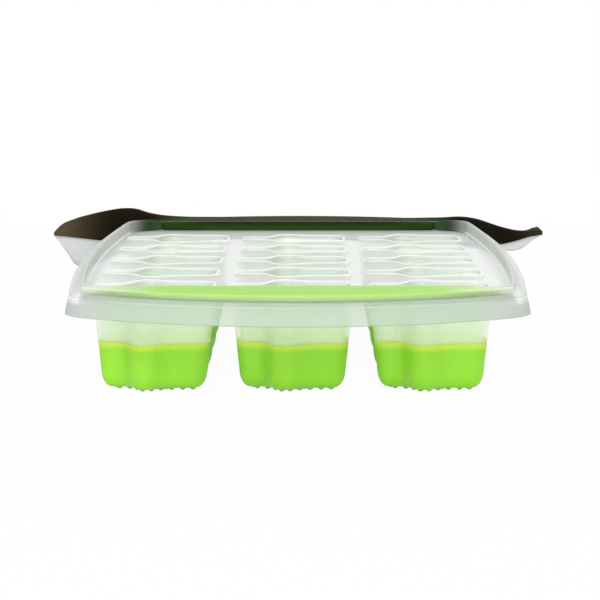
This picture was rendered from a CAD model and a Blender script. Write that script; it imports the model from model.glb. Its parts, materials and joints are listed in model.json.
# %% [markdown]
# # A soft-bottomed ice cube tray
#
# This lesson dresses a measured model of an ice cube tray. The tray has a frosted, translucent
# frame, soft green cups that are pushed up to free the cubes, soft green end grips, and a dark
# cover that lies folded back behind the rear end. Such shapes could be pushed and pulled by hand in
# Edit Mode. Here every surface is a small formula on a grid of points, worked out with numpy, because
# then each shape can be read, checked and changed by a number.

# %% Load the measured model
import json
import math

import bmesh
import bpy
import numpy as np
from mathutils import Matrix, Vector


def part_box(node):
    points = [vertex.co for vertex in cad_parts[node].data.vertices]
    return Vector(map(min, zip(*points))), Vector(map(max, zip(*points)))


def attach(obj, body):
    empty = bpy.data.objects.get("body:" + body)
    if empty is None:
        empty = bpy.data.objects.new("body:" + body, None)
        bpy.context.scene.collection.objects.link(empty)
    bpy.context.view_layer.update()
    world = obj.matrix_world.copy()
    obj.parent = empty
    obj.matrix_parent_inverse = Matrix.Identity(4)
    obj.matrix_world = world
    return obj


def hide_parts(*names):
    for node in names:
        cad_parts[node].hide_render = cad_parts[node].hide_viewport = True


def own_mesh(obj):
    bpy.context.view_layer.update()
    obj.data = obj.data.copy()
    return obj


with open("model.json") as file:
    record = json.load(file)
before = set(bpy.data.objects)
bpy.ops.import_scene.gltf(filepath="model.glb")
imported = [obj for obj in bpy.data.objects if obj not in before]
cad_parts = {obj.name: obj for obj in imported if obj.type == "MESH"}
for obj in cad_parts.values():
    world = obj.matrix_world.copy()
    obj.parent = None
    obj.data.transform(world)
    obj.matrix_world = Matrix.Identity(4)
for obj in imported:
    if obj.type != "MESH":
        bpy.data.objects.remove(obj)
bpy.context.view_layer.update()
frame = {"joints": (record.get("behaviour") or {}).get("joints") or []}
MM = 0.001

# %% [markdown]
# ## Places taken from the model
#
# The model says where each piece sits. These places could be typed in again, but would be wrong as soon
# as the model changes, so the few that everything hangs on are read from its boxes: the rim gives the
# outline and the crest, a cell's tile gives the spacing, and a cup's wall gives the line where the soft
# green begins. All lengths below are in millimetres.

# %% Places and sizes
ROWS, COLS = 5, 3


def box_mm(node):
    """Lowest and highest corner of a node in millimetres."""
    low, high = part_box(node)
    return np.array(low) / MM, np.array(high) / MM


rim_low, rim_high = box_mm("rim_frame")
tile_low, tile_high = box_mm("cell_r1c1")
wall_low, wall_high = box_mm("cup_wall_r1c1")
_, base_high = box_mm("cup_base_r1c1")
CENTRE_Y = (rim_low[1] + rim_high[1]) / 2
CREST_Z, SKIRT_Z = rim_high[2], rim_low[2]
COL_PITCH, ROW_PITCH = (tile_high - tile_low)[:2]
CUP_TOP, BASE_LIFT, BASE_TOP = wall_high[2], wall_low[2], base_high[2]

# Sizes of the moulding that the boxes don't show
SIDE_BOW, END_BOW, CORNER_R = 4.2, 20.0, 9.0
SKIRT_FLARE = 1.1
RIM_BAND, CREST_W = 4.2, 1.2
DECK_DROP, FLANGE_STEP, DECK_END_BOW = 3.6, 1.8, 0.5
END_BEAD = 0.3
SHELL = 1.2
HALF_W = (rim_high[0] - rim_low[0]) / 2 - SKIRT_FLARE - SIDE_BOW
HALF_L = (rim_high[1] - rim_low[1]) / 2 - SKIRT_FLARE - END_BOW
DECK_Z = CREST_Z - DECK_DROP
FLANGE_Z = CREST_Z - FLANGE_STEP
print("half width", round(HALF_W, 2), "half length", round(HALF_L, 2), "crest", round(CREST_Z, 2))

# %% [markdown]
# ## From a grid of points to a mesh
#
# A surface here is an array of shape (rows, columns, 3). Its faces could be added one by one in a loop,
# which is slow for tens of thousands of points, so the face list comes from index arrays. Neighbouring
# points make four-sided faces, and a grid may close on itself in either direction, as a cup does around
# its outline.

# %% Grid helpers
def grid_faces(rows, cols, close_rows=False, close_cols=False, start=0):
    """Faces between each point, the next one along its row and the two in the next row."""
    r = np.arange(rows if close_rows else rows - 1)
    c = np.arange(cols if close_cols else cols - 1)
    r, c = np.meshgrid(r, c, indexing="ij")
    r2, c2 = (r + 1) % rows, (c + 1) % cols
    faces = np.stack([r * cols + c, r * cols + c2, r2 * cols + c2, r2 * cols + c], axis=-1)
    return faces.reshape(-1, 4) + start


def mesh_object(name, grids, weld=None):
    """One object from several grids of points in millimetres; weld joins points that meet."""
    points, faces, count = [], [], 0
    for grid, closed in grids:
        rows, cols = grid.shape[:2]
        points.append(grid.reshape(-1, 3))
        faces.append(grid_faces(rows, cols, closed[0], closed[1], count))
        count += rows * cols
    mesh = bpy.data.meshes.new(name)
    mesh.from_pydata((np.concatenate(points) * MM).tolist(), [], np.concatenate(faces).tolist())
    if weld:
        work = bmesh.new()
        work.from_mesh(mesh)
        bmesh.ops.remove_doubles(work, verts=work.verts, dist=weld * MM)
        work.to_mesh(mesh)
        work.free()
    mesh.shade_smooth()
    obj = bpy.data.objects.new(name, mesh)
    bpy.context.scene.collection.objects.link(obj)
    return obj


def thicken(obj, thickness):
    """Gives a sheet its wall, which lies behind the side that its faces show."""
    wall = obj.modifiers.new("wall", "SOLIDIFY")
    wall.thickness = thickness * MM
    wall.offset = -1.0
    wall.use_even_offset = False


def at_height(outline, z):
    """A flat outline lifted to one height, or to a height for each of its points."""
    return np.column_stack([outline, np.broadcast_to(z, len(outline))])


print("faces of a ring of 4 by 6 points", len(grid_faces(4, 6, close_cols=True)))

# %% [markdown]
# ## The outline of the rim
#
# Seen from above, the real rim has gently bowed sides, strongly bowed ends and round corners. It could
# be a Bezier curve, but a curve can't be set in or out evenly without a new fit. Each quarter is three
# arcs that touch without a kink instead. The corner's centre lies a known distance from the centres of
# the other two arcs, so it is where two circles cross. Growing all three radii by the same amount moves
# the whole outline evenly in or out, which gives every line of the rim.

# %% Bowed outlines
SIDE_POINTS, CORNER_POINTS = 80, 40


def arc_radius(half_chord, bow):
    """Radius of the arc over a chord: half the chord squared plus the bow squared, over twice the bow."""
    return (half_chord**2 + bow**2) / (2 * bow)


def running_length(points):
    """Length of a line of points up to each of them: the sum of the steps before it."""
    return np.concatenate([[0], np.cumsum(np.linalg.norm(np.diff(points, axis=0), axis=1))])


def bowed_quarter(half_w, bow_end, grow):
    """Points of a quarter outline, their running length, and the length at the middle of the corner."""
    side_r, end_r = arc_radius(HALF_L, SIDE_BOW), arc_radius(half_w, bow_end)
    # The side's arc is centred at (a, 0), the end's at (0, b), and the corner's lies p and q from them
    a, b = half_w + SIDE_BOW - side_r, HALF_L + bow_end - end_r
    p, q = side_r - CORNER_R, end_r - CORNER_R
    m, k = (a * a - b * b + q * q - p * p) / (2 * a), b / a
    n, h = 1 + k * k, b - m * k
    y = (h + math.sqrt(h * h - n * (b * b + m * m - q * q))) / n
    x = m + k * y
    t1, t2 = math.atan2(y, x - a), math.atan2(y - b, x)
    arcs = [((a, 0), side_r, np.linspace(0, t1, SIDE_POINTS)),
            ((x, y), CORNER_R, np.linspace(t1, t2, CORNER_POINTS)),
            ((0, b), end_r, np.linspace(t2, math.pi / 2, SIDE_POINTS))]
    points = np.concatenate([np.column_stack([cx + (r + grow) * np.cos(t), cy + (r + grow) * np.sin(t)])
                             for (cx, cy), r, t in arcs])
    length = running_length(points)
    return points, length, (length[SIDE_POINTS - 1] + length[SIDE_POINTS + CORNER_POINTS]) / 2


def bowed_ring(perimeter, half_w, bow_end, grow):
    """Carries the points of the tiles' rectangle out to a bowed outline, corner to corner."""
    points, length, corner = bowed_quarter(half_w, bow_end, grow)
    far = np.abs(perimeter) / np.abs(perimeter).max(axis=0)
    on_side = far[:, 0] > 1 - 1e-9
    along = np.where(on_side, far[:, 1] * corner, corner + (1 - far[:, 0]) * (length[-1] - corner))
    sign = np.sign(np.round(perimeter, 6))
    return np.column_stack([np.interp(along, length, points[:, 0]),
                            np.interp(along, length, points[:, 1])]) * sign


def edge_ring(perimeter, grow):
    """The rim's outer edge, grown outwards."""
    return bowed_ring(perimeter, HALF_W, END_BOW, grow)


def deck_ring(perimeter, grow):
    """The wall around the deck, grown outwards."""
    return bowed_ring(perimeter, HALF_W - RIM_BAND, DECK_END_BOW, grow)


print("a quarter of the rim's edge is", round(bowed_quarter(HALF_W, END_BOW, 0)[1][-1], 1), "mm long")

# %% [markdown]
# ## The outline of a cell
#
# A cell has a body with an apex in front and behind, a short neck on its left and a lobe on its right.
# Its outline could be drawn by hand and scaled for each height, but scaling would change the wall's
# thickness and the radii. It is ten corners rounded by arcs instead, which can be drawn in by any
# amount. The number of steps on each arc and each straight run is chosen once, so that outlines of any
# size match point for point, and so that they also match the points along the four sides of the square
# tile of deck around the cell.

# %% Cell outline
CELL_SHIFT = (wall_low[0] + wall_high[0] - tile_low[0] - tile_high[0]) / 2
CELL_W, ROOT_X, APEX_X, LOBE_X = 34.0, 8.5, 3.4, 4.0
BODY_DEEP, LOBE_DEEP, NECK_DEEP = 30.4, 18.6, 9.0
BODY_R, NECK_R, ROOT_R, LOBE_R, LEAST_R = 4.6, 3.2, 3.0, 8.0, 0.3
UPPER_DRAFT, LOWER_DRAFT, DEEP_DRAFT, NECK_SPREAD = 1.5, 0.8, 0.6, 0.4
FULL_DRAFT = UPPER_DRAFT + LOWER_DRAFT
# Steps on each corner's arc, on the straight run that follows it, and along the sides of a tile
ARC_STEPS = (4, 4, 8, 3, 6, 6, 3, 8, 4, 4)
RUN_STEPS = (3, 4, 2, 4, 14, 4, 2, 4, 3, 2)
TILE_X, TILE_Y = 26, 20


def unit(v):
    """Vectors of length one."""
    return v / np.linalg.norm(v, axis=1, keepdims=True)


def cell_outline(draft, inset):
    """Closed outline of a cell: smaller by the draft, set in by the inset, from the neck's front root."""
    half, neck = CELL_W / 2 - draft, NECK_DEEP / 2 + NECK_SPREAD * draft
    near, far = BODY_DEEP / 2 - DEEP_DRAFT * draft, LOBE_DEEP / 2 - DEEP_DRAFT * draft
    front = np.array([[-half, -neck], [-ROOT_X, -neck], [-APEX_X, -near], [LOBE_X, -far], [half, -far]])
    corners = np.concatenate([front, front[::-1] * [1, -1]])
    # Every side moves in by the inset, and each corner goes to where its two sides then meet
    side = unit(np.roll(corners, -1, axis=0) - corners)
    into = np.column_stack([-side[:, 1], side[:, 0]])
    before = np.roll(into, 1, axis=0)
    corners = corners + (before + into) / (1 + (before * into).sum(axis=1, keepdims=True)) * inset
    radii = [max(NECK_R - inset, LEAST_R), ROOT_R + inset, BODY_R - inset, LOBE_R + inset, BODY_R - inset]
    radii = np.array(radii + radii[::-1])
    # Each corner is rounded by an arc that touches both of its sides
    back, on = unit(np.roll(corners, 1, axis=0) - corners), unit(np.roll(corners, -1, axis=0) - corners)
    angle = np.arccos((back * on).sum(axis=1)) / 2
    centre = corners + unit(back + on) * (radii / np.sin(angle))[:, None]
    reach = (radii / np.tan(angle))[:, None]
    start, end = corners + back * reach - centre, corners + on * reach - centre
    a0 = np.arctan2(start[:, 1], start[:, 0])
    sweep = (np.arctan2(end[:, 1], end[:, 0]) - a0 + math.pi) % (2 * math.pi) - math.pi
    pieces = []
    for i in range(len(corners)):
        t = a0[i] + sweep[i] * np.arange(ARC_STEPS[i]) / ARC_STEPS[i]
        pieces.append(centre[i] + radii[i] * np.column_stack([np.cos(t), np.sin(t)]))
        j = (i + 1) % len(corners)
        run = np.arange(RUN_STEPS[i])[:, None] / RUN_STEPS[i]
        pieces.append((centre[i] + end[i]) * (1 - run) + (centre[j] + start[j]) * run)
    # The list then starts at the middle of the neck's front root, which faces the tile's corner
    return np.roll(np.concatenate(pieces), -(ARC_STEPS[0] + RUN_STEPS[0] + ARC_STEPS[1] // 2), axis=0)


def rectangle(cols, rows):
    """Points around a block of tiles with the tiles' own spacing, from its front left corner."""
    steps_x, steps_y = TILE_X * cols, TILE_Y * rows
    x, y = np.arange(steps_x) / steps_x * 2 - 1, np.arange(steps_y) / steps_y * 2 - 1
    one_x, one_y = np.ones(steps_x), np.ones(steps_y)
    sides = [np.column_stack([x, -one_x]), np.column_stack([one_y, y]),
             np.column_stack([-x, one_x]), np.column_stack([-one_y, -y])]
    return np.concatenate(sides) * np.array([cols * COL_PITCH, rows * ROW_PITCH]) / 2


def cell_centre(r, c):
    """Middle of a tile in the plan."""
    return np.array([(c - (COLS + 1) / 2) * COL_PITCH, CENTRE_Y + (r - (ROWS + 1) / 2) * ROW_PITCH])


print("points around a cell", len(cell_outline(0, 0)), "and around its tile", len(rectangle(1, 1)))

# %% [markdown]
# ## The frame: deck and cells
#
# The real frame is one thin moulding of frosted plastic. It could be cut from a block with booleans,
# but those leave ragged faces around the mouths. It is one sheet here, which gets its thickness at the
# end. This step makes the sheet of one cell, a stack of outlines: from the tile's square edge over the
# flat deck to a rolled lip around the mouth, then down the wall to where the soft cup begins.

# %% Cell sheet
LIP, LIP_OUT = 0.4, 0.45
# Lines of the lip from its outside to its inside: inset from the mouth, and height over the deck
LIP_LINES = ((-0.2, 0.08), (0.05, 0.28), (0.3, LIP), (0.65, LIP - 0.05), (0.95, LIP - 0.25), (1.12, -0.1))
# The round at the foot of the wall around the deck, and the room that the tiles leave beside it
WALL_FOOT, FOOT_ROOM = 1.2, 0.05


def inside_wall(points):
    """Draws the tiles' outermost points in to the foot of the deck's wall, an arc along each side."""
    r = arc_radius(HALF_L, SIDE_BOW)
    reach = np.sqrt((r - WALL_FOOT - FOOT_ROOM) ** 2 - points[:, 1] ** 2)
    limit = HALF_W - RIM_BAND + SIDE_BOW - r + reach
    return np.column_stack([np.clip(points[:, 0], -limit, limit), points[:, 1]])


def cell_sheet(r, c):
    """Stack of outlines: the tile's edge, flat deck, a rounded lip, then the wall that draws in downwards."""
    middle = cell_centre(r, c) - [0, CENTRE_Y]
    tile = inside_wall(rectangle(1, 1) + middle) - middle
    shift = np.array([CELL_SHIFT, 0])
    near = cell_outline(0, -LIP_OUT) + shift
    rows = [at_height(tile + (near - tile) * t, DECK_Z) for t in (0, 0.4, 0.75, 1)]
    rows += [at_height(cell_outline(0, inset) + shift, DECK_Z + z) for inset, z in LIP_LINES]
    for t in (0.06, 0.2, 0.4, 0.6, 0.8, 0.93, 1.0):
        z = DECK_Z + (CUP_TOP - DECK_Z) * t
        rows.append(at_height(cell_outline(UPPER_DRAFT * t, SHELL) + shift, z))
    return np.stack(rows) + np.append(cell_centre(r, c), 0)


print("lines and points in a cell's sheet", cell_sheet(1, 1).shape[:2])

# %% [markdown]
# ## The frame: rim and skirt
#
# Around the deck the real frame rises to a narrow crest, steps down to a flange and ends in a skirt that
# flares downwards. The rim could be one profile swept along a path, but along the ends the crest sinks
# to let the soft grip pass over, and the plan changes from the tiles' rectangle to the bowed edge. So
# each line of the profile is an outline of its own. The outlines share points with the tiles, which are
# welded, and a modifier then gives the sheet its wall on the underside.

# %% Rim sheet and the welded frame
# The crest is low along the ends up to this distance from the middle, and full after the turn
LIP_REACH, LIP_TURN = 45.0, 5.0
BRIM_IN, BRIM_DROP, FLARE_CURVE = 1.3, 0.95, 1.4
# Lines of the rim: growth of the outline, and share of the rise or height over the flange
INNER_LINES = ((-WALL_FOOT, 0.0), (-0.6, 0.02), (-0.25, 0.08), (-0.05, 0.22), (0, 0.6), (0, 0.85),
               (0.08, 0.94), (0.32, 0.995), (0.6, 1.0))
OUTER_LINES = ((0.88, 0.99), (1.12, 0.88), (CREST_W, 0.65), (CREST_W + 0.05, 0.15), (CREST_W + 0.3, 0.0))
BRIM_LINES = ((-BRIM_IN, 0), (-0.7, -0.08), (-0.25, -0.4), (-0.02, -BRIM_DROP))


def ease(t):
    """Soft step from 0 to 1: three times the square less twice the cube."""
    return t * t * (3 - 2 * t)


def lip_share(x):
    """1 where the grip's lip passes over the end wall, 0 towards the corners, with a soft turn between."""
    return ease(np.clip((LIP_REACH + LIP_TURN - np.abs(x)) / LIP_TURN, 0, 1))


def rim_sheet():
    """Stack of outlines from the tiles over the deck's border, wall, crest and flange, down the skirt."""
    edge = rectangle(COLS, ROWS)
    ring = deck_ring(edge, 0)
    on_end = np.abs(ring[:, 1]) > HALF_L - CORNER_R
    fall = lip_share(ring[:, 0]) * on_end * (FLANGE_STEP - END_BEAD)
    rows = [at_height(inside_wall(edge), DECK_Z)]
    for grow, rise in INNER_LINES:
        rows.append(at_height(deck_ring(edge, grow), DECK_Z + (DECK_DROP - fall) * rise))
    for grow, rise in OUTER_LINES:
        rows.append(at_height(deck_ring(edge, grow), FLANGE_Z + (FLANGE_STEP - fall) * rise))
    bridge, far = deck_ring(edge, OUTER_LINES[-1][0]), edge_ring(edge, -BRIM_IN)
    rows += [at_height(bridge + (far - bridge) * t, FLANGE_Z) for t in (0.35, 0.7)]
    rows += [at_height(edge_ring(edge, grow), FLANGE_Z + z) for grow, z in BRIM_LINES]
    skirt_top = FLANGE_Z - BRIM_DROP
    for t in (0.2, 0.4, 0.6, 0.8, 0.95, 1.0):
        z = skirt_top + (SKIRT_Z - skirt_top) * t
        rows.append(at_height(edge_ring(edge, SKIRT_FLARE * t**FLARE_CURVE), z))
    return np.stack(rows) + np.array([0, CENTRE_Y, 0])


cells = [(r, c) for r in range(1, ROWS + 1) for c in range(1, COLS + 1)]
sheets = [(cell_sheet(r, c), (False, True)) for r, c in cells] + [(rim_sheet()[::-1], (False, True))]
tray_frame = mesh_object("tray_frame", sheets, weld=0.01)
thicken(tray_frame, SHELL)
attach(tray_frame, "tray")
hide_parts("rim_frame", *[f"cell_r{r}c{c}" for r, c in cells])
up = np.zeros(len(tray_frame.data.polygons) * 3)
tray_frame.data.polygons.foreach_get("normal", up)
print("frame faces", len(tray_frame.data.polygons), "mean upward normal", round(up[2::3].mean(), 2))

# %% [markdown]
# ## The soft cups: wall
#
# The lower part of each real cell is a soft green cup, whose wall squashes when its bottom is pushed up.
# The wall could be a sheet with a modifier for its thickness, but the sliding bottom needs an inner face
# of its own shape. So it is a closed loop of outlines: down the outside, round the turn into the bottom,
# up the inside and across the upper edge.

# %% Cup wall
BEADS, BEAD_POINTS = 20, 14
# The turn at the foot of a cup's wall: how far it goes in and how high it starts
TURN_R, TURN_UP = 3.0, 4.8


def even_outline(draft, inset):
    """The cell's outline with points at even spacing, a whole number of them for each bead."""
    points = cell_outline(draft, inset)
    points = np.concatenate([points, points[:1]])
    length = running_length(points)
    at = np.arange(BEADS * BEAD_POINTS) / (BEADS * BEAD_POINTS) * length[-1]
    return np.column_stack([np.interp(at, length, points[:, 0]), np.interp(at, length, points[:, 1])])


def wall_loop():
    """Loop of outlines: down the outside, a quarter of an ellipse into the bottom, and up the inside."""
    t = np.linspace(0, 1, 9)
    turn = np.linspace(0, math.pi / 2, 7)[1:]
    foot, inner_r, inner_up = BASE_LIFT + TURN_UP, TURN_R - SHELL, BASE_LIFT + TURN_UP - BASE_TOP
    down = [(UPPER_DRAFT + LOWER_DRAFT * s, 0.0, CUP_TOP + (foot - CUP_TOP) * s) for s in t]
    under = [(FULL_DRAFT, TURN_R * (1 - math.cos(a)), foot - TURN_UP * math.sin(a)) for a in turn]
    inside = [(FULL_DRAFT, TURN_R - inner_r * math.sin(a), BASE_TOP + inner_up * (1 - math.cos(a)))
              for a in np.linspace(0, math.pi / 2, 5)]
    lift = [(UPPER_DRAFT + LOWER_DRAFT * s, SHELL, CUP_TOP + (foot - CUP_TOP) * s) for s in t[-2::-1]]
    lines = down + under + inside + lift
    return np.stack([at_height(even_outline(draft, inset), z) for draft, inset, z in lines])


wall_shape = wall_loop()
print("lines and points in a cup's wall", wall_shape.shape[:2])

# %% [markdown]
# ## The soft cups: beaded bottom
#
# A real cup stands on a ring of small beads around its bottom, with a low round pad in the middle for
# the thumb. The beads could be 300 separate balls, but on the real cup they are one skin with the
# bottom. So the bottom is a stack of outlines that closes to a point above and below, and each bead is
# half a ball pressed out of the underside: a point within a bead's radius of its middle moves down onto
# the ball.

# %% Beaded bottom
BEAD_R, BEAD_INSET, BEAD_BAND = 0.85, 0.9, 1.9
PAD_R, PAD_SLOPE = 4.0, 0.8
# Gap between a bottom and its wall, so that they slide past each other
HAIR = 0.03
# Point that the rings of the bottom close around, and the share of their size at which they close
BASE_MIDDLE, CLOSED = np.array([2.0, 0.0]), 0.001


def base_stack():
    """Stack of outlines from the middle of the cup's floor out to its edge and back under to the middle."""
    inner = even_outline(FULL_DRAFT, TURN_R + BEAD_BAND)

    def ring(share, z):
        return at_height(BASE_MIDDLE + (inner - BASE_MIDDLE) * share, z)

    def band(inset, z):
        return at_height(even_outline(FULL_DRAFT, TURN_R + inset), z)

    floor = [ring(share, BASE_TOP) for share in (CLOSED, 0.5, 0.85)]
    edge = [band(HAIR, z) for z in (BASE_TOP, (BASE_TOP + BASE_LIFT) / 2, BASE_LIFT)]
    under = [band(inset, BASE_LIFT) for inset in np.linspace(0.1, BEAD_BAND, 15)]
    back = [ring(share, BASE_LIFT) for share in (0.85, 0.7, 0.6, 0.5, 0.4, 0.3, 0.2, 0.1, CLOSED)]
    lower = np.stack(under + back)
    # Half balls along the bead line
    middles = even_outline(FULL_DRAFT, TURN_R + BEAD_INSET)[::BEAD_POINTS]
    gap = np.linalg.norm(lower[:, :, None, :2] - middles[None, None], axis=-1).min(axis=-1)
    ball = BEAD_R - np.sqrt(np.clip(BEAD_R**2 - gap**2, 0, None))
    # The thumb pad is a low round rise in the middle of the tile
    away = np.linalg.norm(lower[..., :2] + np.array([CELL_SHIFT, 0]), axis=-1)
    pad = BASE_LIFT * (1 - np.clip((PAD_R - away) / PAD_SLOPE, 0, 1))
    lower[..., 2] = np.minimum(np.where(gap < BEAD_R, np.minimum(ball, BASE_LIFT), BASE_LIFT), pad)
    return np.concatenate([np.stack(floor + edge), lower])


base_shape = base_stack()
print("lines and points in a bottom", base_shape.shape[:2])

# %% [markdown]
# ## The soft cups: in their places
#
# All 15 real cups are alike. One could be made and copied as instances, but each bottom moves by itself,
# so each cell gets its own wall and its own bottom from the same two arrays. The wall belongs to the
# tray and is squashed from its upper edge, by as much as its bottom travels.

# %% Cups
TRAVEL = next(j["range_m"][1] for j in frame["joints"] if j["name"] == "push_r1c1") / MM
cup_walls, cup_bases = [], []
for r, c in cells:
    tag = f"r{r}c{c}"
    place = np.append(cell_centre(r, c) + [CELL_SHIFT, 0], 0)
    wall = mesh_object(f"soft_wall_{tag}", [((wall_shape + place)[::-1], (True, True))])
    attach(wall, "tray")
    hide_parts(f"cup_wall_{tag}")
    1 - TRAVEL / (CUP_TOP - BASE_LIFT)
    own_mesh(wall)
    base = mesh_object(f"beaded_bottom_{tag}", [((base_shape + place)[::-1], (False, True))], weld=0.025)
    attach(base, f"base_{tag}")
    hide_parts(f"cup_base_{tag}")
    cup_walls.append(wall)
    cup_bases.append(base)
print("cups", len(cup_walls), "faces in a bottom", len(cup_bases[0].data.polygons))
print("travel in mm", round(TRAVEL, 2))

# %% [markdown]
# ## The end grips
#
# On the real tray a lens of soft green fills each end flange up to the crest, so that wet fingers don't
# slip, and runs on over the end wall into a lip on the wall's inside. On the rear one lies the cover's
# edge strip, a thin lens of its own. A lens could be an extruded outline with a bevel, but a bevel can't
# thin out towards the tips. So sections across the lens are set side by side along the tray's width:
# down the lip, over the rounded top and down the bowed edge. The lip draws back before the corners,
# where the crest rises.

# %% Lens sections
LIP_T, LIP_GAP = 0.6, 0.1
REAR_STEP, BAND_T = 0.6, 0.5
# The straight inner edge of a lens lies just outside the crest
CHORD = HALF_L + DECK_END_BOW + CREST_W
GRIP_INSET, EDGE_R, LIP_R, TIP_CUT = 0.5, 0.5, 0.4, 0.4
# Small gaps: under a grip, outside the chord at three of its lines, and under the lip and the edge strip
SEAT, FRONT_GAP, STEP_GAP, BACK_GAP, LIFT = 0.04, 0.05, 0.08, 0.1, 0.02
SECTIONS = 121


def lens_width(grow):
    """Places along the lens, close together at its tips, and the lens's width there."""
    end_r = arc_radius(HALF_W, END_BOW)
    middle = HALF_L + END_BOW - end_r
    reach = math.sqrt((end_r + grow) ** 2 - (CHORD - middle) ** 2) - TIP_CUT
    x = reach * np.sin(np.linspace(-math.pi / 2, math.pi / 2, SECTIONS))
    return x, middle + np.sqrt((end_r + grow) ** 2 - x**2) - CHORD


def edge_radius(r, width):
    """Radius of a lens's edge, at most a little under half the width."""
    return np.minimum(r, width / 2.2)


def rounded_edge(y, top, r, inner=False):
    """Quarter turn of a section: down a bowed edge at y, or, on the inner side, up to the top."""
    turn = np.linspace(0, math.pi / 2, 5)
    if inner:
        return [(y + r * (1 - np.cos(t)), top - r * (1 - np.sin(t))) for t in turn]
    return [(y - r * (1 - np.cos(t)), top - r * (1 - np.sin(t))) for t in turn[::-1]]


def stack_sections(x, section):
    """Grid whose rows are the lines (y, z) of a section, each drawn along all the places x."""
    none = 0 * x
    return np.stack([np.column_stack([x, y + none, z + none]) for y, z in section])


def grip_grid(top, lens_top):
    """Sections across a grip: up the lip's face, over the top, down the bowed edge and back underneath."""
    x, width = lens_width(-GRIP_INSET)
    lip = lip_share(x)
    front = CHORD + FRONT_GAP - lip * (CHORD + FRONT_GAP - HALF_L + LIP_GAP + LIP_T)
    low = FLANGE_Z + SEAT
    over = low + (END_BEAD + LIP_GAP) * lip
    foot = over - lip * (over - DECK_Z - LIFT)
    r = edge_radius(EDGE_R, width)
    step = [(CHORD, top), (CHORD + STEP_GAP, lens_top)] if lens_top < top else []
    rear = rounded_edge(CHORD + width, lens_top, r)
    upper = rounded_edge(front, top - (1 - lip) * (top - lens_top), np.minimum(r, LIP_R), inner=True)
    body = [(CHORD + r + (width - 2 * r) * t, lens_top) for t in (0.1, 0.4, 0.7)]
    under = [(CHORD + width, low), (CHORD + BACK_GAP, low), (CHORD + STEP_GAP, over),
             (front + lip * LIP_T, over), (front + lip * LIP_T, foot)]
    return stack_sections(x, [(front, foot)] + upper + step + body + rear + under)


def band_grid(top):
    """Sections across the cover's edge strip, a thin lens with two rounded edges."""
    x, width = lens_width(SKIRT_FLARE)
    near, low = CHORD + BACK_GAP, top - BAND_T + LIFT
    r = edge_radius(BAND_T / 2, width)
    body = [(near + r + (width - 2 * r - BACK_GAP) * t, top) for t in (0.1, 0.5, 0.9)]
    section = [(near, low)] + rounded_edge(near, top, r, inner=True)
    section += body + rounded_edge(CHORD + width, top, r) + [(CHORD + width, low)]
    return stack_sections(x, section)


print("a grip is", round(lens_width(-GRIP_INSET)[1].max(), 1), "mm wide in the middle")

# %% Grips and edge strip
REAR_TOP = CREST_Z - REAR_STEP
lenses = (("front_grip", -1, grip_grid(CREST_Z, CREST_Z), "grip_rubber"),
          ("rear_grip", 1, grip_grid(REAR_TOP, REAR_TOP - BAND_T), "grip_rubber"),
          ("cover_band", 1, band_grid(REAR_TOP), "cover_rubber"))
soft_ends = {}
for name, sign, grid, slot in lenses:
    # Each tip closes to one point
    grid[:, [0, -1]] = grid[:, [0, -1]].mean(axis=0)
    grid = grid * np.array([sign, sign, 1]) + np.array([0, CENTRE_Y, 0])
    soft_ends[name] = mesh_object(f"soft_{name}", [(grid, (True, False))], weld=0.001)
    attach(soft_ends[name], "tray")
    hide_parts(name)
print("faces of grips and edge strip", [len(o.data.polygons) for o in soft_ends.values()])

# %% [markdown]
# ## The folded-back cover: its lines
#
# Behind the rear end lies a dark soft cover with a pale lining. Its fold hugs the rear skirt and runs out
# into two wings that rise and then droop. It could be draped by a cloth simulation, but this cover keeps
# a moulded, wavy set that no drape gives. So a few heights along the fold, the hem and the flaps say how
# it hangs, and a smooth curve runs through them.

# %% Lines of the cover
cover_low, cover_high = box_mm("cover_sheet")
COVER_W = cover_high[0] - cover_low[0]
COVER_RISE = 10.0
WING_BACK, WING_BLEND, COVER_GAP = 8.0, 0.6, 0.4
# Shares of the half width, and heights over the crest as shares of the cover's rise
FOLD_LINE = np.array([[-1, -0.5], [-0.98, -0.32], [-0.93, -0.11], [-0.85, 0.09], [-0.78, 0.22], [-0.72, 0.29],
                      [-0.67, 0.27], [-0.62, 0.14], [-0.56, 0.03], [-0.48, -0.05], [-0.36, -0.1], [0, -0.12],
                      [0.45, -0.11], [0.58, -0.05], [0.68, -0.01], [0.74, -0.09], [0.8, -0.26], [0.85, -0.39],
                      [0.9, -0.48], [0.94, -0.49], [0.98, -0.44], [1, -0.47]])
HEM_LINE = np.array([[-1, -0.62], [-0.97, -0.64], [-0.82, -0.78], [0, -0.86], [0.7, -0.98], [0.84, -0.91],
                     [0.89, -0.81], [0.95, -0.66], [1, -0.59]])
FLAP_LINE = np.array([[-1, -0.64], [-0.95, -1.2], [-0.92, -1.6], [-0.86, -1.66], [-0.74, -1.3], [-0.6, -0.9],
                      [0, -0.88], [0.62, -1], [0.84, -1.16], [0.89, -1.15], [0.92, -1.06], [0.96, -0.8],
                      [1, -0.61]])


def line_height(line, share):
    """Smooth curve through a line's points: a cubic between each two, with the slopes of the line there."""
    x, y = line.T
    slope = np.gradient(y, x)
    i = np.clip(np.searchsorted(x, share, side="right") - 1, 0, len(x) - 2)
    w = x[i + 1] - x[i]
    t = (share - x[i]) / w
    s = ease(t)
    bend = w * t * (1 - t) * (slope[i] * (1 - t) - slope[i + 1] * t)
    return CREST_Z + COVER_RISE * (y[i] * (1 - s) + y[i + 1] * s + bend)


def soft_max(p, q):
    """The larger of two values with a soft turn: their mean plus the root of half their gap and the blend,
    both squared."""
    return (p + q) / 2 + np.sqrt(((p - q) / 2) ** 2 + WING_BLEND**2)


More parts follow.
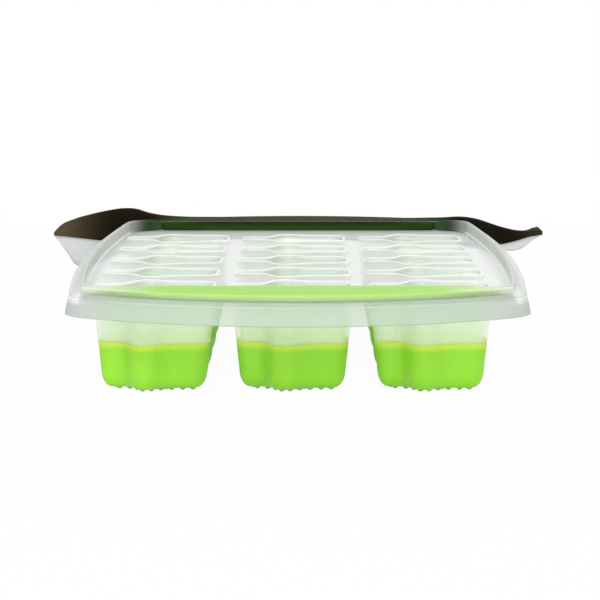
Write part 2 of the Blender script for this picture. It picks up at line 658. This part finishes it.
def fold_back(x):
    """Place of the fold: the rear skirt's arc, then straight out into the wings."""
    skirt_r = arc_radius(HALF_W, END_BOW) + SKIRT_FLARE + COVER_GAP
    middle = HALF_L + END_BOW + SKIRT_FLARE + COVER_GAP
    skirt = middle - skirt_r + np.sqrt(skirt_r**2 - x**2)
    wing = HALF_L + WING_BACK
    return middle + soft_max(skirt, wing) - soft_max(middle, wing)


wing_tops = line_height(FOLD_LINE, np.array([-0.72, 0.68])) - CREST_Z
print("left and right wing over the crest in mm", wing_tops.round(1))

# %% [markdown]
# ## The folded-back cover: its two layers
#
# The real cover is a dark sheet with a white lining against it. One sheet with two materials could stand
# for both, but at the wings the lining hangs out below the hem as a flap, so each layer is a sheet of
# its own. Each section goes up from the hem, over the bend and back along the apron. The lining is the
# same form at a depth below the outer face, with the flaps as its hem.

# %% Cover
COVER_DEEP, COVER_DROP, FOLD_R, BEND_SHARE = 34.0, 8.0, 3.0, 0.8
SHEET, LINING, LAYER_GAP = 0.8, 0.5, 0.1
COVER_SECTIONS, TIP_FADE = 181, 6
# The sheet's rim and its upper face stay this far inside the measured box
SIDE_ROOM, TOP_ROOM = 0.3, 0.08


def cover_grid(hem, depth):
    """Sections of one layer of the cover, at a depth below its outer face."""
    share = np.linspace(-1, 1, COVER_SECTIONS)
    x = share * (COVER_W / 2 - SIDE_ROOM)
    front = fold_back(x)
    top, low = line_height(FOLD_LINE, share) - TOP_ROOM, line_height(HEM_LINE, share)
    edge = line_height(hem, share)
    bend = np.minimum(FOLD_R, BEND_SHARE * (top - low))
    fade = 1 - share**TIP_FADE
    reach = COVER_DEEP * (1 + fade) / 2
    face = [(front + depth, edge + (top - bend - edge) * t) for t in np.linspace(0, 1, 7)]
    over = [(front + bend - (bend - depth) * np.cos(t), top - bend + (bend - depth) * np.sin(t))
            for t in np.linspace(0, math.pi / 2, 9)[1:]]
    apron = [(front + bend + (reach - bend) * t, top - depth - COVER_DROP * fade * t**2)
             for t in np.linspace(0, 1, 13)[1:]]
    return stack_sections(x, [(CENTRE_Y + y, z) for y, z in face + over + apron])


cover_sheet = mesh_object("cover_outer", [(cover_grid(HEM_LINE, 0.0), (False, False))])
cover_lining = mesh_object("cover_inner", [(cover_grid(FLAP_LINE, SHEET + LAYER_GAP), (False, False))])
for piece, node, wall, slot in ((cover_sheet, "cover_sheet", SHEET, "cover_rubber"),
                                (cover_lining, "cover_lining", LINING, "lining_plastic")):
    thicken(piece, wall)
    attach(piece, "cover")
    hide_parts(node)
print("cover faces", len(cover_sheet.data.polygons), len(cover_lining.data.polygons))

# %% [markdown]
# ## Writing finishes as sums
#
# A finish is a small net of nodes. It could be wired by hand in the Shader Editor, but a formula is
# easier to read back. So one class wraps an output, and plus, minus, times and divide add the Math node
# that does it.

# %% Shader arithmetic
class Signal:
    """One output in a node tree, with arithmetic."""

    def __init__(self, paint, socket):
        self.paint, self.socket = paint, socket

    def math(self, operation, *others):
        values = {i: v for i, v in enumerate((self, *others))}
        return self.paint.node("ShaderNodeMath", {"operation": operation}, values)

    def __add__(self, other):
        return self.math("ADD", other)

    __radd__ = __add__

    def __mul__(self, other):
        return self.math("MULTIPLY", other)

    __rmul__ = __mul__

    def __sub__(self, other):
        return self.math("SUBTRACT", other)

    def __rsub__(self, other):
        return (self * -1) + other

    def __truediv__(self, other):
        return self.math("DIVIDE", other)

    def __abs__(self):
        return self.math("ABSOLUTE")

    def clamp(self):
        """Kept between 0 and 1."""
        return self.math("MAXIMUM", 0.0).math("MINIMUM", 1.0)

    def ramp(self, start, width):
        """0 up to the start, then straight up to 1 over the width."""
        return ((self - start) / width).clamp()


# %% [markdown]
# ## One finish, one material
#
# A second class holds a material and its shader. Each kind of node could get a helper of its own, but
# one method serves all of them: it sets the node's own choices first, then fills or links its inputs.
# The few that come back often, such as noise and bump, are short calls of it with sizes in millimetres.

# %% Materials
class Paint:
    """A material with one shader; constants go straight onto the shader's sockets."""

    def __init__(self, name, tree=None, **constants):
        if tree is None:
            self.material = bpy.data.materials.new(name)
            self.material.use_nodes = True
            tree = self.material.node_tree
            self.shader = tree.nodes["Principled BSDF"]
            for key, value in constants.items():
                self.shader.inputs[key.replace("_", " ")].default_value = value
        self.tree = tree

    def node(self, kind, settings=None, inputs=None, output=0):
        """Adds a node: its choices first, then the values or links of its inputs."""
        made = self.tree.nodes.new(kind)
        for key, value in (settings or {}).items():
            setattr(made, key, value)
        for key, value in (inputs or {}).items():
            self.link(value, made.inputs[key])
        return Signal(self, made.outputs[output])

    def link(self, value, socket):
        """Joins a signal to a socket, or sets the socket's own value."""
        if isinstance(value, Signal):
            self.tree.links.new(value.socket, socket)
        else:
            socket.default_value = value

    def place(self):
        """Object coordinates, and the same as three signals in millimetres."""
        spot = self.node("ShaderNodeTexCoord", output=3)
        split = self.node("ShaderNodeSeparateXYZ", inputs={0: spot})
        axes = [Signal(self, out) for out in split.socket.node.outputs]
        return spot, [axis * (1 / MM) for axis in axes]

    def mix(self, share, first, second):
        """Colour that goes from the first to the second as the share goes from 0 to 1."""
        return self.node("ShaderNodeMix", {"data_type": "RGBA"}, {0: share, 6: first, 7: second}, output=2)

    def noise(self, spot, size, detail=2.0):
        """Soft noise whose blotches are about this many millimetres across."""
        values = {"Vector": spot, "Scale": 1 / (size * MM), "Detail": detail}
        return self.node("ShaderNodeTexNoise", inputs=values)

    def bump(self, height, depth):
        """Pushes the surface's shading in and out by a height, in millimetres."""
        values = {"Strength": 1.0, "Distance": depth * MM, "Height": height}
        return self.node("ShaderNodeBump", inputs=values)

    def feed(self, **sockets):
        """Links signals to the shader's sockets."""
        for key, value in sockets.items():
            self.link(value, self.shader.inputs[key.replace("_", " ")])
        return self


def dress(paint, *objects):
    """Puts one finish on each of the objects."""
    for obj in objects:
        obj.data.materials.clear()
        obj.data.materials.append(paint.material)
    print("finish", paint.material.name, "with", len(paint.tree.nodes), "nodes on", len(objects), "pieces")


# %% [markdown]
# ## The finish of the frame
#
# The real frame is frosted polypropylene: nearly white, satin and see-through, greener where the soft cup
# begins. A glass shader could show it, but is noisy and gets lost when the model leaves Blender, so the
# frame has a plain shader whose Alpha says how dense it looks. It is densest at the lips, on the deck and
# at the rear end wall, where the dark cover behind it shows. A faint glow stands for the light that
# frosted walls carry down into the cells.

# %% Frosted plastic
DECK_SKIN, GREEN_FADE = 1.4, 11.0
# Middle and half height of the lip's white line over the deck
LIP_WHITE = (0.28, 0.22)
# Start and width of each soft change, as a distance from the tray's middle
SKIRT_SIDE, SKIRT_END = (HALF_W - 4, 2), (HALF_L - 6, 3)
VEIL_GREY, REAR_GREY, REAR_STOP = (48, 8), (49, 5), (51, 8)
# The dark tone of the rear end wall turns with the deck's corner from this distance on
REAR_TURN, REAR_CURVE = 45, 0.065


def frosted_plastic():
    """Masks for deck, lip, skirt and rear wall, each a ramp, that mix the tones and add up the density."""
    paint = Paint("frosted_plastic", IOR=1.45, Specular_IOR_Level=0.5, Emission_Strength=1.0)
    spot, (x, y, z) = paint.place()
    across, along = abs(x), abs(y - CENTRE_Y)
    cloud = paint.noise(spot, 9)
    wall = paint.mix(cloud, (0.88, 0.93, 0.84, 1), (0.92, 0.97, 0.88, 1))
    top = paint.mix(cloud, (0.76, 0.78, 0.75, 1), (0.84, 0.86, 0.83, 1))
    on_deck = z.ramp(DECK_Z - DECK_SKIN, 1)
    near_cup = 1 - z.ramp(CUP_TOP, GREEN_FADE)
    base = paint.mix(near_cup * 0.6, paint.mix(on_deck, wall, top), (0.84, 0.99, 0.62, 1))
    # The lip around each mouth is the whitest
    lip = 1 - abs(z - (DECK_Z + LIP_WHITE[0])).ramp(0, LIP_WHITE[1])
    base = paint.mix(lip, base, (0.95, 0.97, 0.95, 1))
    # The skirt and the end flanges are the thickest to look through
    skirt = across.ramp(*SKIRT_SIDE).math("MAXIMUM", along.ramp(*SKIRT_END)) * (1 - on_deck)
    skirt = (skirt + along.ramp(CHORD, 1) * on_deck).clamp()
    veil = paint.mix(cloud, (0.44, 0.535, 0.41, 1), (0.48, 0.575, 0.45, 1))
    veil = paint.mix(across.ramp(*VEIL_GREY), veil, (0.43, 0.45, 0.425, 1))
    base = paint.mix(skirt, base, veil)
    # The dark cover behind the rear end wall shows through it, also around the corners
    turned = (across - REAR_TURN).math("MAXIMUM", 0.0)
    behind = y - (CENTRE_Y + HALF_L - 1) + turned * turned * REAR_CURVE
    reach = 1 - across.ramp(*REAR_STOP)
    rear = behind.ramp(0, 1.2) * reach * (2 - reach) * on_deck
    shade = paint.mix(across.ramp(*REAR_GREY), (0.002, 0.038, 0.0005, 1), (0.012, 0.014, 0.004, 1))
    base = paint.mix(rear, base, shade)
    # Cup edge, last row of cells, deck, lips, skirt and rear wall each add to the thin wall's density
    last = y.ramp(cell_centre(ROWS, 1)[1] + 4, 6) * (1 - on_deck)
    dense = near_cup * 0.3 + last * 0.25 + on_deck * 0.4 * (1 - skirt) + lip * 0.4 + skirt * 0.34
    alpha = (0.2 + dense + rear * 0.6).clamp()
    glow = paint.mix(near_cup, (0.145, 0.15, 0.14, 1), (0.08, 0.1, 0.055, 1))
    glow = paint.mix(skirt, paint.mix(on_deck, glow, (0, 0, 0, 1)), (0.05, 0.06, 0.045, 1))
    gloss = 0.17 + cloud * 0.12 + skirt * 0.3 + on_deck * 0.2 + rear * 0.3
    grain = paint.bump(paint.noise(spot, 0.5), 0.006)
    return paint.feed(Base_Color=base, Alpha=alpha, Roughness=gloss, Emission_Color=glow, Normal=grain)


dress(frosted_plastic(), tray_frame)

# %% [markdown]
# ## The finish of the cups
#
# The real cups are a yellow-green elastomer, palest at the thin upper edge, and light enters them a
# little way. The depth could come from several clear layers, but the shader's own subsurface weight gives
# it in one number, and a small even glow keeps the shaded side as fresh as the material looks.

# %% Cup elastomer
def cup_elastomer():
    """A cloudy green that turns yellow in a band below the cup's upper edge."""
    paint = Paint("cup_elastomer", IOR=1.45, Specular_IOR_Level=0.3, Emission_Strength=1.0,
                  Emission_Color=(0.015, 0.025, 0.003, 1), Subsurface_Weight=0.25, Subsurface_Scale=2 * MM)
    spot, (_, _, z) = paint.place()
    thin = z.ramp(CUP_TOP - 2.2, 1.6)
    cloud = paint.noise(spot, 6)
    green = paint.mix(cloud, (0.31, 0.74, 0.035, 1), (0.37, 0.8, 0.055, 1))
    base = paint.mix(thin, green, (0.66, 0.9, 0.1, 1))
    grain = paint.bump(paint.noise(spot, 0.4), 0.015)
    return paint.feed(Base_Color=base, Roughness=0.36 + cloud * 0.12, Normal=grain)


dress(cup_elastomer(), *cup_walls, *cup_bases)

# %% [markdown]
# ## The finish of the grips
#
# The grips are the same soft green, but thin towards the corners, where they look pale and see-through.
# On the rear one the dark cover behind shows through and turns it to a deep green. That could come from
# true light paths, but those would need a thick volume, so a tone and the Alpha say it here.

# %% Grip elastomer
# Start and width of each soft change, sideways from the middle and, for the rear half, along the tray
CORNER_PALE, STRIP_GREY, REAR_HALF = (36, 20), (30, 16), (0, 20)
# Start and width of the bowed edge's pale face and of the rear strip's dark top, as heights
FACE_UP, STRIP_UP = (FLANGE_Z + 1.1, 0.6), (CREST_Z - 3.4, 2.4)


def grip_elastomer():
    """Green that pales with the distance from the middle in front, and a dark strip at the rear."""
    paint = Paint("grip_elastomer", Roughness=0.5, IOR=1.45, Specular_IOR_Level=0.15)
    spot, (x, y, z) = paint.place()
    corner = abs(x).ramp(*CORNER_PALE)
    cloud = paint.noise(spot, 7)
    green = paint.mix(cloud, (0.4, 0.76, 0.11, 1), (0.46, 0.8, 0.15, 1))
    pale = paint.mix(corner, green, (0.86, 0.94, 0.66, 1))
    # The bowed edge is thinner and paler than the top
    face = 1 - z.ramp(*FACE_UP)
    pale = paint.mix(face * (0.85 - corner * 0.6), pale, (0.42, 0.58, 0.3, 1))
    # The dark cover behind the rear grip shows through it
    rear = y.ramp(*REAR_HALF)
    low = 1 - z.ramp(*STRIP_UP)
    strip = paint.mix(low, (0.003, 0.012, 0.001, 1), (0.028, 0.115, 0.004, 1))
    strip = paint.mix(abs(x).ramp(*STRIP_GREY), strip, (0.016, 0.05, 0.005, 1))
    base = paint.mix(rear, pale, strip)
    alpha = 0.92 - corner * (1 - rear) * (0.2 + face * 0.55)
    grain = paint.bump(paint.noise(spot, 0.4), 0.015)
    return paint.feed(Base_Color=base, Alpha=alpha, Normal=grain)


dress(grip_elastomer(), soft_ends["front_grip"], soft_ends["rear_grip"])

# %% [markdown]
# ## The finish of the cover
#
# The real cover is a matt dark brown, olive on the edge strip over the rear grip, and rubbed paler
# towards the tips of its wings. Its lining is white. The rubbed look could be painted on an image, but a
# ramp along the width needs no image and stays sharp at any distance.

# %% Cover brown and lining white
# Start and width of each soft change: from strip to wing, along either axis, and of the rubbed tips
WING_SIDE, WING_REAR, RUBBED = (38, 14), (CENTRE_Y + HALF_L + END_BOW, 5), (66, 20)
# The left tip is rubbed a little further in than the right one
RUBBED_LEFT = 0.07


def cover_brown():
    """Olive on the edge strip, dark brown on the wings, and paler with the square of the rubbed share."""
    paint = Paint("cover_brown", IOR=1.45, Specular_IOR_Level=0.04)
    spot, (x, y, _) = paint.place()
    cloud = paint.noise(spot, 14, 4.0)
    olive = paint.mix(cloud, (0.038, 0.05, 0.012, 1), (0.056, 0.07, 0.02, 1))
    dark = paint.mix(cloud, (0.006, 0.0045, 0.002, 1), (0.014, 0.0105, 0.0045, 1))
    wing = abs(x).ramp(*WING_SIDE).math("MAXIMUM", y.ramp(*WING_REAR))
    rubbed = (abs(x) - x * RUBBED_LEFT).ramp(*RUBBED)
    base = paint.mix(rubbed * rubbed, paint.mix(wing, olive, dark), (0.085, 0.065, 0.036, 1))
    grain = paint.bump(paint.noise(spot, 0.6, 3.0), 0.03)
    return paint.feed(Base_Color=base, Roughness=0.78 + cloud * 0.15, Normal=grain)


def lining_white():
    """A cloudy white with a fine grain."""
    paint = Paint("lining_white", Roughness=0.6)
    spot, _ = paint.place()
    base = paint.mix(paint.noise(spot, 5, 3.0), (0.6, 0.6, 0.61, 1), (0.7, 0.7, 0.71, 1))
    return paint.feed(Base_Color=base, Normal=paint.bump(paint.noise(spot, 0.5), 0.02))


dress(cover_brown(), cover_sheet, soft_ends["cover_band"])
dress(lining_white(), cover_lining)

# %% [markdown]
# ## Floor and light
#
# The tray stands on a plain white floor under soft light. A white background could come from stronger
# lamps, but those would bleach the tray. So the camera, mirrors and glass see the floor and the sky as
# white, with only a breath of shadow near the tray, while every other ray meets a floor that simply
# reflects light.

# %% Floor and sky
HALF_FLOOR, FLOOR_Z = 3.0, -0.1 * MM
# Share of the floor's own shading that the camera sees, and where it fades out
SHADOW_SHARE, SHADOW_FADE = 0.04, (150, 350)


def white_for_camera(paint, lit, share):
    """Mixes a shader with plain white light for rays that come from the camera, a mirror or glass."""
    path = paint.node("ShaderNodeLightPath").socket.node.outputs
    seen = sum((Signal(paint, path[k]) for k in ("Is Glossy Ray", "Is Transmission Ray")),
               Signal(paint, path["Is Camera Ray"])).clamp()
    glow = paint.node("ShaderNodeEmission", inputs={"Color": (1, 1, 1, 1), "Strength": 1.0})
    return paint.node("ShaderNodeMixShader", inputs={0: seen * share, 1: lit, 2: glow})


floor_mesh = bpy.data.meshes.new("floor")
corners = [(HALF_FLOOR * i, HALF_FLOOR * j, FLOOR_Z) for i, j in ((-1, -1), (1, -1), (1, 1), (-1, 1))]
floor_mesh.from_pydata(corners, [], [(0, 1, 2, 3)])
floor = bpy.data.objects.new("floor", floor_mesh)
bpy.context.scene.collection.objects.link(floor)
floor_paint = Paint("floor_white")
matt = floor_paint.node("ShaderNodeBsdfDiffuse", inputs={"Color": (0.85, 0.85, 0.85, 1)})
_, (x, y, _) = floor_paint.place()
away = (x * x + (y - CENTRE_Y) * (y - CENTRE_Y)).math("SQRT")
shown = white_for_camera(floor_paint, matt, 1 - SHADOW_SHARE + SHADOW_SHARE * away.ramp(*SHADOW_FADE))
floor_paint.link(shown, floor_paint.tree.nodes["Material Output"].inputs["Surface"])
floor_paint.tree.nodes.remove(floor_paint.shader)
floor_mesh.materials.append(floor_paint.material)

world = bpy.data.worlds.new("studio")
bpy.context.scene.world = world
world.use_nodes = True
sky = Paint("studio", tree=world.node_tree)
ambient = world.node_tree.nodes["Background"]
ambient.inputs["Color"].default_value = (0.95, 0.97, 1, 1)
ambient.inputs["Strength"].default_value = 0.55
lit_sky = white_for_camera(sky, Signal(sky, ambient.outputs[0]), 1.0)
sky.link(lit_sky, world.node_tree.nodes["World Output"].inputs["Surface"])
print("floor", 2 * HALF_FLOOR, "m wide, sky strength", round(ambient.inputs["Strength"].default_value, 2))

# %% Lamps
# Name, place in metres, size in metres and watts
LAMPS = (("key_lamp", (-0.5, -0.9, 0.9), 0.8, 6),
         ("front_lamp", (0.15, -1.2, 0.3), 0.9, 8),
         ("rear_lamp", (0.4, 0.9, 0.8), 0.7, 3))
AIM = (0, CENTRE_Y * MM, 0.02)


def soft_lamp(name, spot, size, watts):
    """Square lamp that faces the tray: tilted from straight down, then turned about the upright axis."""
    lamp = bpy.data.lights.new(name, "AREA")
    lamp.shape, lamp.size, lamp.energy = "SQUARE", size, watts
    obj = bpy.data.objects.new(name, lamp)
    bpy.context.scene.collection.objects.link(obj)
    way = np.array(AIM) - np.array(spot)
    tilt = math.atan2(math.hypot(way[0], way[1]), -way[2])
    obj.location = spot
    obj.rotation_euler = (tilt, 0, math.atan2(way[0], -way[1]) + math.pi)


for lamp in LAMPS:
    soft_lamp(*lamp)
print("lamps in watts", {name: watts for name, _, _, watts in LAMPS})

# %% [markdown]
# ## Camera
#
# The tray is seen from low in front, where the rim's far end shows above its near end. The camera could
# be tracked to the tray, but a fixed place and tilt are easier to compare with a picture. Its lens comes
# from the focal length in pixels of a square picture.

# %% Camera
IMAGE_PX = 600
FOCAL_PX = 2304
CAMERA_ASIDE, CAMERA_FRONT, CAMERA_UP = 0.6, 695.0, 106.9
TILT_DOWN = math.radians(7.43)
camera_data = bpy.data.cameras.new("camera")
camera = bpy.data.objects.new("camera", camera_data)
bpy.context.scene.collection.objects.link(camera)
camera_data.sensor_width = 36.0
camera_data.lens = FOCAL_PX / IMAGE_PX * camera_data.sensor_width
camera_data.clip_start = 0.05
camera.location = (CAMERA_ASIDE * MM, (CENTRE_Y - CAMERA_FRONT) * MM, CAMERA_UP * MM)
camera.rotation_euler = (math.pi / 2 - TILT_DOWN, 0, 0)
bpy.context.scene.camera = camera
bpy.context.scene.view_settings.view_transform = "Standard"
print("lens", round(camera_data.lens, 1), "mm, camera at", [round(v, 3) for v in camera.location])
